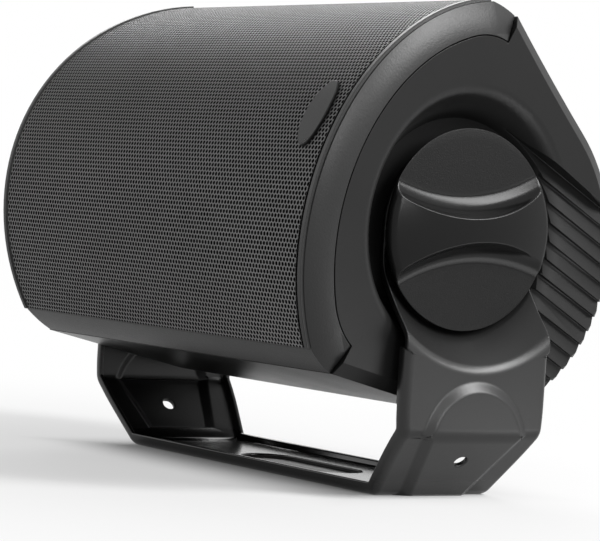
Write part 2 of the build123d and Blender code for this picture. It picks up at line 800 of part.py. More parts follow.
# Front baffle: a channel that carries the drivers, screwed to the shell's ledges by its feet
back_tangent = flank_tangent(seam_half_height, seam_depth)
flank_slope = (seam_half_height - back_tangent[0]) / (seam_depth - back_tangent[1])
flank_at_foot = seam_half_height - (seam_depth - foot_seat) * flank_slope
foot_outer = flank_at_foot - shell_wall * sqrt(1 + flank_slope ** 2) - fit_gap
skirt = atan2(baffle_front - baffle_foot_u, baffle_foot_v - baffle_half_height)
skirt_shift = baffle_wall * tan(radians(90) / 2 - skirt / 2)
with BuildPart() as front_baffle:
    with BuildSketch(section):
        with BuildLine():
            Polyline(
                (0, baffle_front),
                (baffle_half_height, baffle_front),
                (baffle_foot_v, baffle_foot_u),
                (foot_outer, baffle_foot_u),
                (foot_outer, baffle_foot_u - baffle_wall),
                (baffle_foot_v - baffle_wall - skirt_shift, baffle_foot_u - baffle_wall),
                (baffle_half_height - baffle_wall - skirt_shift, baffle_front - baffle_thickness),
                (0, baffle_front - baffle_thickness),
                close=True,
            )
        make_face()
        mirror(about=Plane.YZ)
    extrude(amount=baffle_half_length, both=True)
    with BuildSketch(facing.offset(baffle_front)):
        with Locations((woofer_x, 0)):
            Circle(woofer_hole_radius)
        with Locations((tweeter_x, 0)):
            Circle(tweeter_neck_radius + fit_gap)
        with Locations(*woofer_screws, *tweeter_screws):
            Circle(screw_radius + screw_clearance)
    extrude(amount=-2 * baffle_thickness, mode=Mode.SUBTRACT)
    with BuildSketch(facing.offset(baffle_foot_u)):
        with Locations(*baffle_screws):
            Circle(screw_radius + screw_clearance)
    extrude(amount=-2 * baffle_wall, mode=Mode.SUBTRACT)
finish(front_baffle.part, "front_baffle")

# Foam strips under the baffle's feet
gasket_inner = baffle_foot_v - baffle_wall
with BuildPart() as baffle_gasket:
    with BuildSketch(facing.offset(foot_seat)):
        with Locations((0, (gasket_inner + foot_outer) / 2), (0, -(gasket_inner + foot_outer) / 2)):
            Rectangle(2 * baffle_half_length, foot_outer - gasket_inner)
        with Locations(*baffle_screws):
            Circle(screw_radius + screw_clearance, mode=Mode.SUBTRACT)
    extrude(amount=gasket_thickness)
finish(baffle_gasket.part, "baffle_gasket")
screws("baffle_screws", baffle_screws, facing.offset(baffle_foot_u))

# Drivers: x is the distance from the driver's axis, y runs forwards from the baffle
woofer = Plane(origin=plan.from_local_coords((woofer_x, baffle_front, 0)), x_dir=(1, 0, 0), z_dir=downward)
tweeter = Plane(origin=plan.from_local_coords((tweeter_x, baffle_front, 0)), x_dir=(1, 0, 0), z_dir=downward)


def turned(name, plane, *points):
    """A round piece turned about a driver's axis."""
    with BuildPart() as piece:
        with BuildSketch(plane):
            with BuildLine():
                Polyline(*points, close=True)
            make_face()
        revolve(axis=Axis(plane.origin, plane.y_dir))
    finish(piece.part, name)


def cap_middle(radius, base, rise):
    """A point half-way along the arc from the rim of a cap to its top."""
    ball = (radius * radius + rise * rise) / (2 * rise)
    return radius / 2, base + rise - ball + sqrt(ball * ball - radius * radius / 4)


flange_top = woofer_gasket + woofer_flange
land = flange_top - woofer_land_drop
roll_middle = surround_inner + 2 * surround_skin + surround_roll + 0.4
roll_end = roll_middle + surround_roll
basket_throat = coil_radius + winding + coil_gap
basket_back = -basket_depth - basket_wall

with BuildPart() as woofer_basket:
    with BuildSketch(woofer):
        with BuildLine():
            Polyline(
                (woofer_land_radius, flange_top),
                (woofer_flange_radius, flange_top),
                (woofer_flange_radius, woofer_gasket),
                (woofer_hole_radius - 1, woofer_gasket),
                (basket_bottom_radius + basket_wall, -spider_depth - basket_wall),
                (basket_bottom_radius + basket_wall, basket_back),
                (basket_throat, basket_back),
                (basket_throat, -basket_depth),
                (spider_radius - 1, -basket_depth),
                (spider_radius - 1, -spider_depth),
                (basket_bottom_radius, -spider_depth),
                (roll_end, woofer_gasket),
                (roll_end, land),
                (woofer_land_radius, land),
                close=True,
            )
        make_face()
    revolve(axis=Axis(woofer.origin, woofer.y_dir))
    window_height = spider_depth * basket_window_share
    window_width = basket_window_share * 2 * woofer_land_radius * sin(radians(180 / basket_windows))
    front = facing.offset(baffle_front - (spider_depth - window_height) / 2)
    for window in range(basket_windows):
        turn = radians(360 * window / basket_windows + 15)
        with BuildSketch(front):
            with Locations((woofer_x + woofer_land_radius * cos(turn), woofer_land_radius * sin(turn))):
                Rectangle(woofer_land_radius, window_width, rotation=degrees(turn))
        extrude(amount=-window_height, mode=Mode.SUBTRACT)
    with BuildSketch(facing.offset(baffle_front)):
        with Locations(*woofer_screws):
            Circle(screw_radius + screw_clearance)
    extrude(amount=2 * flange_top, mode=Mode.SUBTRACT)
finish(woofer_basket.part, "woofer_basket")

with BuildPart() as woofer_seal:
    with BuildSketch(facing.offset(baffle_front)):
        with Locations((woofer_x, 0)):
            Circle(woofer_flange_radius)
            Circle(woofer_hole_radius, mode=Mode.SUBTRACT)
        with Locations(*woofer_screws):
            Circle(screw_radius + screw_clearance, mode=Mode.SUBTRACT)
    extrude(amount=woofer_gasket)
finish(woofer_seal.part, "woofer_gasket")

with BuildPart() as woofer_surround:
    with BuildSketch(woofer):
        with BuildLine():
            rise = land + surround_skin
            inner = surround_roll - surround_skin
            Polyline((roll_middle - surround_roll, rise), (surround_inner, rise), (surround_inner, land),
                     (roll_middle - inner, land))
            ThreePointArc((roll_middle - inner, land), (roll_middle, land + inner),
                          (roll_middle + inner, land))
            Polyline((roll_middle + inner, land), (woofer_land_radius - 0.2, land),
                     (woofer_land_radius - 0.2, rise), (roll_end, rise))
            ThreePointArc((roll_end, rise), (roll_middle, rise + surround_roll),
                          (roll_middle - surround_roll, rise))
        make_face()
    revolve(axis=Axis(woofer.origin, woofer.y_dir))
finish(woofer_surround.part, "woofer_surround")

cone_rim = roll_middle - surround_roll
neck = coil_radius + fit_gap / 4
turned(
    "woofer_cone", woofer,
    (neck, land - cone_depth - cone_skin),
    (neck, land - cone_depth),
    (surround_inner, land),
    (cone_rim, land),
    (cone_rim, land - cone_skin),
    (surround_inner + cone_skin / 2, land - cone_skin),
    (neck + cone_skin, land - cone_depth - cone_skin),
)
cone_slope = cone_depth / (surround_inner - neck)
cap_base = land - cone_depth + (dust_cap_radius - neck) * cone_slope + 0.2
with BuildPart() as woofer_dust_cap:
    with BuildSketch(woofer):
        with BuildLine():
            bore = dust_cap_radius - cone_skin
            hollow = dust_cap_rise - cone_skin
            ThreePointArc((dust_cap_radius, cap_base), cap_middle(dust_cap_radius, cap_base, dust_cap_rise),
                          (0, cap_base + dust_cap_rise))
            Line((0, cap_base + dust_cap_rise), (0, cap_base + hollow))
            ThreePointArc((0, cap_base + hollow), cap_middle(bore, cap_base, hollow), (bore, cap_base))
            Line((bore, cap_base), (dust_cap_radius, cap_base))
        make_face()
    revolve(axis=Axis(woofer.origin, woofer.y_dir))
finish(woofer_dust_cap.part, "woofer_dust_cap")

coil_back = basket_back - 2 * top_plate
coil_front = land - cone_depth + cone_skin
turned(
    "woofer_voice_coil", woofer,
    (coil_radius - former_skin, coil_back),
    (coil_radius + winding, coil_back),
    (coil_radius + winding, coil_back + 2 * top_plate),
    (coil_radius, coil_back + 2 * top_plate),
    (coil_radius, coil_front),
    (coil_radius - former_skin, coil_front),
)
waves = [(coil_radius + 1.6 + 1.5 * step, 1.4 * (step % 2)) for step in range(9)]
spider_line = [(neck, 0), *waves, (basket_bottom_radius - 0.3, 0)]
turned(
    "woofer_spider", woofer,
    *[(r, h - spider_depth) for r, h in spider_line],
    *[(r, h - spider_depth + spider_skin) for r, h in reversed(spider_line)],
)
plate_back = basket_back - top_plate
magnet_back = plate_back - magnet
turned(
    "woofer_top_plate", woofer,
    (basket_throat, plate_back), (top_plate_radius, plate_back),
    (top_plate_radius, basket_back), (basket_throat, basket_back),
)
turned(
    "woofer_magnet", woofer,
    (magnet_bore, magnet_back), (magnet_radius, magnet_back),
    (magnet_radius, plate_back), (magnet_bore, plate_back),
)
pole_radius = coil_radius - former_skin - coil_gap
turned(
    "woofer_pole_piece", woofer,
    (0, magnet_back - back_plate), (back_plate_radius, magnet_back - back_plate),
    (back_plate_radius, magnet_back), (pole_radius, magnet_back),
    (pole_radius, basket_back + 1), (0, basket_back + 1),
)
screws("woofer_screws", woofer_screws, facing.offset(baffle_front + flange_top))

# Tweeter
diaphragm = -0.6           # depth of the diaphragm's rim behind the baffle front
with BuildPart() as tweeter_faceplate:
    with BuildSketch(tweeter):
        with BuildLine():
            Polyline(
                (tweeter_throat, diaphragm),
                (tweeter_throat, 0),
                (tweeter_neck_radius, tweeter_plate),
                (tweeter_radius, tweeter_plate),
                (tweeter_radius, 0),
                (tweeter_neck_radius, 0),
                (tweeter_neck_radius, -tweeter_neck),
                (tweeter_neck_radius - baffle_wall, -tweeter_neck),
                (tweeter_neck_radius - baffle_wall, diaphragm),
                close=True,
            )
        make_face()
    revolve(axis=Axis(tweeter.origin, tweeter.y_dir))
    with BuildSketch(facing.offset(baffle_front)):
        with Locations(*tweeter_screws):
            Circle(screw_radius + screw_clearance)
    extrude(amount=2 * tweeter_plate, mode=Mode.SUBTRACT)
finish(tweeter_faceplate.part, "tweeter_faceplate")

with BuildPart() as tweeter_dome:
    with BuildSketch(tweeter):
        with BuildLine():
            rim = tweeter_neck_radius - baffle_wall - fit_gap
            under = diaphragm - tweeter_skin
            inner = tweeter_dome_radius - tweeter_skin
            hollow = tweeter_dome_rise - tweeter_skin
            Polyline((tweeter_dome_radius, diaphragm), (rim, diaphragm), (rim, under), (inner, under))
            ThreePointArc((inner, under), cap_middle(inner, under, hollow + tweeter_skin),
                          (0, diaphragm + hollow))
            Line((0, diaphragm + hollow), (0, diaphragm + tweeter_dome_rise))
            ThreePointArc((0, diaphragm + tweeter_dome_rise),
                          cap_middle(tweeter_dome_radius, diaphragm, tweeter_dome_rise),
                          (tweeter_dome_radius, diaphragm))
        make_face()
    revolve(axis=Axis(tweeter.origin, tweeter.y_dir))
finish(tweeter_dome.part, "tweeter_dome")

turned(
    "tweeter_voice_coil", tweeter,
    (tweeter_dome_radius - 2 * tweeter_skin, -tweeter_neck - 2), (tweeter_dome_radius, -tweeter_neck - 2),
    (tweeter_dome_radius, under), (tweeter_dome_radius - 2 * tweeter_skin, under),
)
gap_inner = tweeter_dome_radius - 2 * tweeter_skin - coil_gap
gap_outer = tweeter_dome_radius + coil_gap
turned(
    "tweeter_motor", tweeter,
    (0, -tweeter_neck - tweeter_motor), (tweeter_neck_radius, -tweeter_neck - tweeter_motor),
    (tweeter_neck_radius, -tweeter_neck), (gap_outer, -tweeter_neck),
    (gap_outer, -tweeter_neck - 4), (gap_inner, -tweeter_neck - 4),
    (gap_inner, -tweeter_neck + 2), (0, -tweeter_neck + 2),
)
screws("tweeter_screws", tweeter_screws, facing.offset(baffle_front + tweeter_plate))

# Terminals in the well on the back
behind = Plane(origin=pivot, x_dir=(1, 0, 0), z_dir=tuple(-c for c in forward))
well = behind.offset(-terminal_floor)
mirror_places = [(x, -v) for x, v in terminal_screws]
with BuildPart() as terminal_cup:
    with BuildSketch(well):
        Rectangle(2 * (terminal_half_width - terminal_clearance),
                  2 * (terminal_half_height - terminal_clearance))
        with Locations(*post_places):
            Circle(post_radius + screw_clearance, mode=Mode.SUBTRACT)
        with Locations(*mirror_places):
            Circle(screw_radius + screw_clearance, mode=Mode.SUBTRACT)
    extrude(amount=terminal_plate)
finish(terminal_cup.part, "terminal_cup")
screws("terminal_screws", mirror_places, well.offset(terminal_plate))

for name, place in (("red", post_places[0]), ("black", post_places[1])):
    collar = well.offset(terminal_plate)
    with BuildPart() as post:
        with BuildSketch(well.offset(-shell_wall - post_tail)):
            with Locations(place):
                Circle(post_radius)
        extrude(amount=shell_wall + post_tail + terminal_plate + post_collar + post_cap_length - 1)
        with BuildSketch(collar):
            with Locations(place):
                Circle(post_cap_radius - 1)
        extrude(amount=post_collar)
    finish(post.part, f"binding_post_{name}")
    with BuildPart() as cap:
        with BuildSketch(collar.offset(post_collar + post_cap_gap)):
            with Locations(place):
                Circle(post_cap_radius)
        extrude(amount=post_cap_length)
        with BuildSketch(collar.offset(post_collar + post_cap_gap)):
            with Locations(place):
                Circle(post_radius + stud_fit)
        extrude(amount=post_cap_length - 1, mode=Mode.SUBTRACT)
    finish(cap.part, f"post_cap_{name}")

# Crossover on the shell's standoffs
with BuildPart() as crossover_board:
    with BuildSketch(facing.offset(board_u)):
        Rectangle(2 * board_half_width, 2 * board_half_height)
        with Locations(*board_screws):
            Circle(screw_radius + screw_clearance, mode=Mode.SUBTRACT)
    extrude(amount=-board_thickness)
finish(crossover_board.part, "crossover_board")
screws("crossover_screws", board_screws, facing.offset(board_u))

with BuildPart() as crossover_inductor:
    with BuildSketch(facing.offset(board_u)):
        with Locations(inductor_place):
            Circle(inductor_radius)
            Circle(inductor_bore, mode=Mode.SUBTRACT)
    extrude(amount=inductor_height)
finish(crossover_inductor.part, "crossover_inductor")

with BuildPart() as crossover_capacitor:
    with BuildSketch(section.offset(capacitor_place[0])):
        with Locations((capacitor_place[1], board_u + capacitor_radius)):
            Circle(capacitor_radius)
    extrude(amount=capacitor_length)
finish(crossover_capacitor.part, "crossover_capacitor")

with BuildPart() as crossover_resistor:
    with BuildSketch(facing.offset(board_u)):
        with Locations(resistor_place):
            Rectangle(resistor_size[0], resistor_size[1])
    extrude(amount=resistor_size[2])
finish(crossover_resistor.part, "crossover_resistor")
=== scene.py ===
"""Looks of a tilting patio speaker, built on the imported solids."""

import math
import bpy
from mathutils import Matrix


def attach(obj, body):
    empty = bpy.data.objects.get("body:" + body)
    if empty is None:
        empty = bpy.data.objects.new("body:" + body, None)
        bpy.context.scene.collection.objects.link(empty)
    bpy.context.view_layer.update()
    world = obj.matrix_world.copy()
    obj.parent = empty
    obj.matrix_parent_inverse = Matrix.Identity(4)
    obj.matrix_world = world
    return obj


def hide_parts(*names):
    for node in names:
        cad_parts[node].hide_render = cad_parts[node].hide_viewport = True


bl_info = {
    "name": "Tilting patio speaker",
    "version": (1, 0, 0),
    "blender": (4, 5, 0),
    "location": "View3D > Sidebar > Speaker",
    "description": "Perforated grille, moulded cabinet, clamp knobs and pressed bracket",
    "category": "Object",
}

import bmesh
import bpy
from bpy.props import FloatProperty, FloatVectorProperty, IntProperty, PointerProperty
from mathutils import Matrix, Vector

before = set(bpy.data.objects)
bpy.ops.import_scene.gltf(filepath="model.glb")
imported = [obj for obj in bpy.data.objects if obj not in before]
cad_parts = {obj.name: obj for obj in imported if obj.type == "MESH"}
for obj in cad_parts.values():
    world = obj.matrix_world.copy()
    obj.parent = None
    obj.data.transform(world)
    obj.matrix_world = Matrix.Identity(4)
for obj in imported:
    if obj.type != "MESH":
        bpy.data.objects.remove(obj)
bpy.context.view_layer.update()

MM = 0.001

# The cabinet at rest: its pivot line and the ways that its front and its top face
TILT = math.radians(28.7)
PIVOT = Vector((0.0, 0.0, 0.1053))
FORWARD = Vector((0.0, -math.cos(TILT), math.sin(TILT)))
UPWARD = Vector((0.0, math.sin(TILT), math.cos(TILT)))

# The bowed end walls, from the place where they start to lean out towards the front
END_WALL_HALF = 110.0 * MM
END_WALL_START = 28.5 * MM
END_WALL_LEAN = 0.18
END_WALL_BOW = 700.0 * MM

# The round recess and the crowned band of the cabinet's ends
RECESS_RADIUS = 56.0 * MM
BAND_INSET = 6.5 * MM
BAND_HALF_WIDTH = 6.8 * MM
BAND_RISE = 0.75 * MM

# Rounded edges: which edges are keen, which corners are too narrow, and how wide the rounding is
WELD = 0.02 * MM
FLAT_ANGLE = math.radians(0.3)
KEEN_ANGLE = math.radians(28.0)
PINCH_ANGLE = math.radians(65.0)
FRAME_PINCH_ANGLE = math.radians(76.0)
SHELL_ROUND = 0.25 * MM
FRAME_ROUND = 0.2 * MM
BADGE_ROUND = 0.3 * MM
BRACKET_ROUND = 0.7 * MM

# The flat field of grille cells before it is trimmed, and how far a cell's centre may lie past an edge
FIELD_HALF_LENGTH = 114.0 * MM
FIELD_HALF_ARC = 94.0 * MM
TRIM_SHARE = 0.35
EVEN_COUNT = 1000.0
GRILLE_CRISP = 40.0

# The clamp knobs
KNOB_TURN = math.radians(4.5)
KNOB_DRAFT = math.radians(25.0)
KNOB_END_HALF = 16.6 * MM
KNOB_END_REACH = 36.5 * MM
KNOB_END_ROUND = 3.0 * MM
KNOB_EDGE_ROUND = 1.0 * MM
KNOB_RIM_ROUND = 0.35 * MM
KNOB_BORE = 4.06 * MM
KNOB_BORE_DEPTH = 5.0 * MM
KNOB_CRISP = 50.0

# The mesh of a knob's face: its columns, and the points of half a column
KNOB_COLUMNS = 96
KNOB_RIM_STEPS = 8
KNOB_STATIONS = (6, 12, 14, 6)
KNOB_STATION_GAP = 0.004
KNOB_EDGE_TRIES = 12
KNOB_EDGE_BAND = 0.9 * MM
KNOB_COVE_REACH = 5.9 * MM
KNOB_CROWN = 140.0 * MM

# The floor, and how white it is under the bracket, beside it and far away
FLOOR_HALF = 6.0
FLOOR_COLOUR = (0.9, 0.9, 0.9, 1.0)
FOOT_HALF_LENGTH = 85.0 * MM
FOOT_HALF_WIDTH = 34.0 * MM
WHITE_UNDER = 0.04
WHITE_BESIDE = 0.46
WHITE_AWAY = 0.49
WHITE = (1.0, 1.0, 1.0, 1.0)
AMBIENT = 0.2

# Lamps: name, place, target, size and watts; the low one stands for the bright floor at the right
LAMPS = (
    ("key_box", (0.88, 0.66, 0.84), (0.05, 0.0, 0.1), (0.36, 0.72), 18.0),
    ("side_box", (1.2, 0.02, 0.42), (0.05, 0.0, 0.1), (0.3, 0.3), 3.2),
    ("back_box", (-0.95, 0.55, 0.85), (0.0, 0.0, 0.1), (0.9, 0.6), 7.5),
    ("front_box", (-0.9, -1.0, 0.6), (0.0, 0.0, 0.1), (0.9, 0.9), 1.8),
    ("low_box", (0.24, 0.108, 0.004), (0.24, 0.108, 0.1), (0.12, 0.12), 0.15),
)

# The camera
CAMERA_TURN = math.radians(55.03)
CAMERA_LIFT = math.radians(1.65)
CAMERA_ROLL = math.radians(3.77)
CAMERA_TARGET = Vector((-0.00991, 0.0, 0.08256))
CAMERA_DISTANCE = 1.18798
CAMERA_SENSOR = 36.0
CAMERA_LENS = 168.86

# Finishes of the pieces that stay as they are in the solids: name, colour, roughness, options and nodes
FITTINGS = (
    ("zinc_steel", (0.5, 0.5, 0.51), 0.34, {"metallic": 1.0}, (
        "knob_stud_right", "knob_stud_left", "crossover_screws", "woofer_top_plate", "woofer_pole_piece",
    )),
    ("blacked_steel", (0.03, 0.03, 0.03), 0.4, {}, (
        "baffle_screws", "woofer_screws", "tweeter_screws", "terminal_screws",
    )),
    ("plain_brass", (0.68, 0.5, 0.24), 0.3, {"metallic": 1.0}, (
        "pivot_insert_right", "pivot_insert_left", "binding_post_red", "binding_post_black",
    )),
    ("black_rubber", (0.016, 0.016, 0.016), 0.62, {}, (
        "friction_washer_right", "friction_washer_left", "baffle_gasket", "woofer_gasket", "woofer_surround",
    )),
    ("inner_moulding", (0.016, 0.016, 0.016), 0.5, {}, ("front_baffle", "terminal_cup", "tweeter_faceplate")),
    ("basket_paint", (0.03, 0.03, 0.03), 0.42, {}, ("woofer_basket", "tweeter_motor")),
    ("enamelled_copper", (0.6, 0.26, 0.12), 0.3, {"metallic": 1.0, "grain": 0.3 * MM}, (
        "woofer_voice_coil", "tweeter_voice_coil", "crossover_inductor",
    )),
    ("cone_polymer", (0.045, 0.045, 0.048), 0.45, {}, ("woofer_cone", "woofer_dust_cap")),
    ("dome_anodised", (0.05, 0.05, 0.053), 0.4, {}, ("tweeter_dome",)),
    ("spider_cloth", (0.55, 0.4, 0.14), 0.85, {"relief": 0.08 * MM}, ("woofer_spider",)),
    ("ferrite", (0.05, 0.05, 0.052), 0.6, {}, ("woofer_magnet",)),
    ("board_green", (0.02, 0.13, 0.05), 0.4, {}, ("crossover_board",)),
    ("film_yellow", (0.6, 0.38, 0.05), 0.35, {}, ("crossover_capacitor",)),
    ("ceramic_white", (0.72, 0.7, 0.65), 0.7, {}, ("crossover_resistor",)),
    ("cap_red", (0.42, 0.012, 0.012), 0.35, {}, ("post_cap_red",)),
    ("cap_black", (0.012, 0.012, 0.012), 0.35, {}, ("post_cap_black",)),
)


class SpeakerGrille(bpy.types.PropertyGroup):
    """Sizes of the perforated sheet."""

    pitch: FloatProperty(
        name="Hole pitch", description="Distance between hole centres along a row",
        default=2.07 * MM, unit="LENGTH", precision=5,
    )
    hole_radius: FloatProperty(
        name="Hole radius", description="Radius of one perforation",
        default=0.86 * MM, unit="LENGTH", precision=5,
    )
    hole_sides: IntProperty(
        name="Hole sides", description="Sides of the polygon that stands for a round hole", default=8,
    )
    hole_depth: FloatProperty(
        name="Hole depth", description="Thickness of the sheet seen inside a hole",
        default=0.9 * MM, unit="LENGTH", precision=5,
    )
    radius: FloatProperty(
        name="Sheet radius", description="Outside radius of the rolled sheet",
        default=95.6 * MM, unit="LENGTH", precision=5,
    )
    centre: FloatProperty(
        name="Sheet centre", description="Distance of the roll's axis in front of the pivot",
        default=-11.4 * MM, unit="LENGTH", precision=5,
    )
    half_height: FloatProperty(
        name="Half height", description="Height of the sheet's long edges above its middle",
        default=78.2 * MM, unit="LENGTH", precision=5,
    )
    end_play: FloatProperty(
        name="End play", description="Shift of the sheet to the left in its seat",
        default=0.75 * MM, unit="LENGTH", precision=5,
    )
    end_inset: FloatProperty(
        name="End inset", description="Mean distance of the sheet's ends from the cabinet's end walls",
        default=8.65 * MM, unit="LENGTH", precision=5,
    )


class SpeakerKnob(bpy.types.PropertyGroup):
    """Sizes of a clamp knob."""

    radius: FloatProperty(
        name="Rim radius", description="Radius of the rim before it is rounded",
        default=40.0 * MM, unit="LENGTH", precision=5,
    )
    back_radius: FloatProperty(
        name="Back radius", description="Radius of the clamping face",
        default=34.0 * MM, unit="LENGTH", precision=5,
    )
    back: FloatProperty(
        name="Clamping face", description="Distance of the clamping face from the middle of the speaker",
        default=95.4 * MM, unit="LENGTH", precision=5,
    )
    floor: FloatProperty(
        name="Scoop floor", description="Distance of the scoop floors from the middle of the speaker",
        default=102.3 * MM, unit="LENGTH", precision=5,
    )
    rise: FloatProperty(
        name="Grip rise", description="Height of the grip bar over the scoop floors",
        default=8.6 * MM, unit="LENGTH", precision=5,
    )
    end_rise: FloatProperty(
        name="Grip end rise", description="Height of the crowned face where it meets the rim's slope",
        default=2.8 * MM, unit="LENGTH", precision=5,
    )
    end_radius: FloatProperty(
        name="Grip end radius", description="Radius where the crowned face meets the rim's slope",
        default=38.6 * MM, unit="LENGTH", precision=5,
    )
    waist: FloatProperty(
        name="Grip waist", description="Half width of the grip bar's foot in the middle",
        default=8.7 * MM, unit="LENGTH", precision=5,
    )
    foot_fillet: FloatProperty(
        name="Foot fillet", description="Radius of the cove at the foot of the grip bar",
        default=9.0 * MM, unit="LENGTH", precision=5,
    )


class SpeakerFinish(bpy.types.PropertyGroup):
    """Colours of the finishes."""

    moulding: FloatVectorProperty(
        name="Moulding", description="Colour of the cabinet and knobs",
        subtype="COLOR", size=3, min=0, max=1, default=(0.0095, 0.0095, 0.0095),
    )
    sheet: FloatVectorProperty(
        name="Grille paint", description="Colour of the perforated sheet",
        subtype="COLOR", size=3, min=0, max=1, default=(0.2, 0.2, 0.2),
    )
    powder: FloatVectorProperty(
        name="Powder coat", description="Colour of the bracket",
        subtype="COLOR", size=3, min=0, max=1, default=(0.006, 0.006, 0.006),
    )


class Wire:
    """A socket in a node tree that can be used in Python expressions."""

    def __init__(self, tree, socket):
        self.tree = tree
        self.socket = socket

    def maths(self, operation, *values):
        """The result of a Math node on these values or wires."""
        made = self.tree.nodes.new("ShaderNodeMath")
        made.operation = operation
        for place, value in enumerate(values):
            plug(self.tree, made.inputs[place], value)
        return Wire(self.tree, made.outputs[0])

    def __add__(self, other):
        return self.maths("ADD", self, other)

    def __radd__(self, other):
        return self.maths("ADD", other, self)

    def __sub__(self, other):
        return self.maths("SUBTRACT", self, other)

    def __rsub__(self, other):
        return self.maths("SUBTRACT", other, self)

    def __mul__(self, other):
        return self.maths("MULTIPLY", self, other)

    def __truediv__(self, other):
        return self.maths("DIVIDE", self, other)

    def __mod__(self, other):
        return self.maths("MODULO", self, other)

    def __neg__(self):
        return self.maths("MULTIPLY", self, -1.0)

    def __abs__(self):
        return self.maths("ABSOLUTE", self)

    def __pow__(self, other):
        return self.maths("POWER", self, other)

    def sin(self):
        return self.maths("SINE", self)

    def cos(self):
        return self.maths("COSINE", self)

    def rounded(self):
        return self.maths("ROUND", self)

    def above(self, other):
        return self.maths("GREATER_THAN", self, other)

    def at_least(self, other):
        return self.maths("MAXIMUM", self, other)

    def at_most(self, other):
        return self.maths("MINIMUM", self, other)

    def swing(self, width):
        """A noise turned into a swing about zero, this wide from end to end."""
        return (self - 0.5) * width

    def span(self, low, high):
        """0 below low, 1 above high and a smooth step between them."""
        made = self.tree.nodes.new("ShaderNodeMapRange")
        made.interpolation_type = "SMOOTHSTEP"
        plug(self.tree, made.inputs["Value"], self)
        made.inputs["From Min"].default_value = low
        made.inputs["From Max"].default_value = high
        return Wire(self.tree, made.outputs["Result"])


def plug(tree, socket, value):
    """Link a wire to a socket, or set the socket's own value."""
    if isinstance(value, Wire):
        tree.links.new(value.socket, socket)
    else:
        socket.default_value = value


def add_node(tree, kind, output=0, **inputs):
    """Add a node with the values or links of its sockets, and give one of its outputs."""
    made = tree.nodes.new(kind)
    for key, value in inputs.items():
        plug(tree, made.inputs[key.replace("_", " ")], value)
    return Wire(tree, made.outputs[output])


def split_axes(tree, place):
    """X, Y and Z of a vector."""
    split = tree.nodes.new("ShaderNodeSeparateXYZ")
    plug(tree, split.inputs[0], place)
    return [Wire(tree, out) for out in split.outputs]


def shade(colour, factor):
    """A colour made lighter or darker."""
    return tuple(channel * factor for channel in colour[:3])


class Finish:
    """A procedural material that is written as expressions on Object coordinates."""

    def __init__(self, name):
        self.material = bpy.data.materials.new(name)
        self.material.use_nodes = True
        self.tree = self.material.node_tree
        self.shader = self.tree.nodes["Principled BSDF"]
        self.place = add_node(self.tree, "ShaderNodeTexCoord", output="Object")

    def axes(self):
        """X, Y and Z of the surface point, in metres."""
        return split_axes(self.tree, self.place)

    def noise(self, size, detail=2.0, roughness=0.5):
        """Noise whose blobs are about the given size across, in metres."""
        return add_node(
            self.tree, "ShaderNodeTexNoise", "Fac", Vector=self.place, Scale=1.0 / size,
            Detail=detail, Roughness=roughness,
        )

    def blend(self, share, low, high):
        """Mix of two colours. Inputs 6 and 7 and output 2 of the node are the ones for colours."""
        made = self.tree.nodes.new("ShaderNodeMix")
        made.data_type = "RGBA"
        plug(self.tree, made.inputs["Factor"], share)
        for socket, value in ((made.inputs[6], low), (made.inputs[7], high)):
            plug(self.tree, socket, value if isinstance(value, Wire) else (*value[:3], 1.0))
        return Wire(self.tree, made.outputs[2])

    def mottled(self, share, colour, darker, lighter):
        """A colour that wanders between two shades of itself."""
        return self.blend(share, shade(colour, darker), shade(colour, lighter))

    def bump(self, height, depth, **under):
        """Normal of a fine relief, its depth in metres, over another normal if one is given."""
        return add_node(self.tree, "ShaderNodeBump", Height=height, Distance=depth, **under)

    def done(self, **sockets):
        """The material, with these values or links in its shader."""
        for key, value in sockets.items():
            plug(self.tree, self.shader.inputs[key.replace("_", " ")], value)
        return self.material


def off_roll_axis(y, z, centre):
    """Distance of a point from the axis that the grille is rolled about; z counts from the pivot."""
    depth = y * FORWARD.y + z * FORWARD.z - centre
    height = y * UPWARD.y + z * UPWARD.z
    return (depth * depth + height * height) ** 0.5


def moulded_plastic(name, colour, roughness, grain=0.45 * MM, relief=0.02 * MM, gleam=0.18, sheet=None):
    """Black moulding with a fine spark-eroded grain, rougher in its round recesses, where its colour is also
    darkened as painted shade.

    With the sizes of the grille it is also crowned along the band beside the sheet.
    """
    finish = Finish(name)
    spots = finish.noise(grain, 3.0, 0.6)
    patches = finish.noise(35 * MM, 3.0)
    _, y, z = finish.axes()
    z = z - PIVOT.z
    # Painted shade: inside the round recess around the knob the colour darkens to 0.3 of itself, where the
    # real moulding only lies in shade; the recess is also made rougher.
    recess_shade_and_dullness = 1.0 - ((y * y + z * z) ** 0.5).span(RECESS_RADIUS - 14 * MM, RECESS_RADIUS - 1 * MM)
    under = {}
    if sheet is not None:
        middle = sheet.radius - BAND_INSET
        across = (off_roll_axis(y, z, sheet.centre) - middle) / BAND_HALF_WIDTH
        under["Normal"] = finish.bump(1.0 - (across * across).at_most(1.0), BAND_RISE)
    tone = finish.mottled(patches, colour, 0.9, 1.12)
    return finish.done(
        Base_Color=finish.blend(recess_shade_and_dullness, tone, shade(colour, 0.3)),
        Roughness=roughness + spots.swing(0.12) + patches.swing(0.08) + recess_shade_and_dullness * 0.5,
        Specular_IOR_Level=gleam,
        Normal=finish.bump(spots, relief, **under),
    )


def knob_plastic(name, colour, floor_x):
    """Knob moulding: a smooth satin grip and finely blasted scoop floors."""
    finish = Finish(name)
    across, _, _ = finish.axes()
    blasted = 1.0 - abs(across).span(floor_x + 0.02 * MM, floor_x + 0.15 * MM)
    grain = finish.noise(0.5 * MM, 2.0, 0.7)
    fine = finish.noise(0.9 * MM, 2.0)
    height = grain * blasted + fine * (1.0 - blasted) * 0.08
    return finish.done(
        Base_Color=finish.mottled(blasted, colour, 0.55, 0.6),
        Roughness=0.22 + blasted * 0.14 + grain.swing(0.1),
        Specular_IOR_Level=0.16,
        Normal=finish.bump(height, 0.1 * MM),
    )


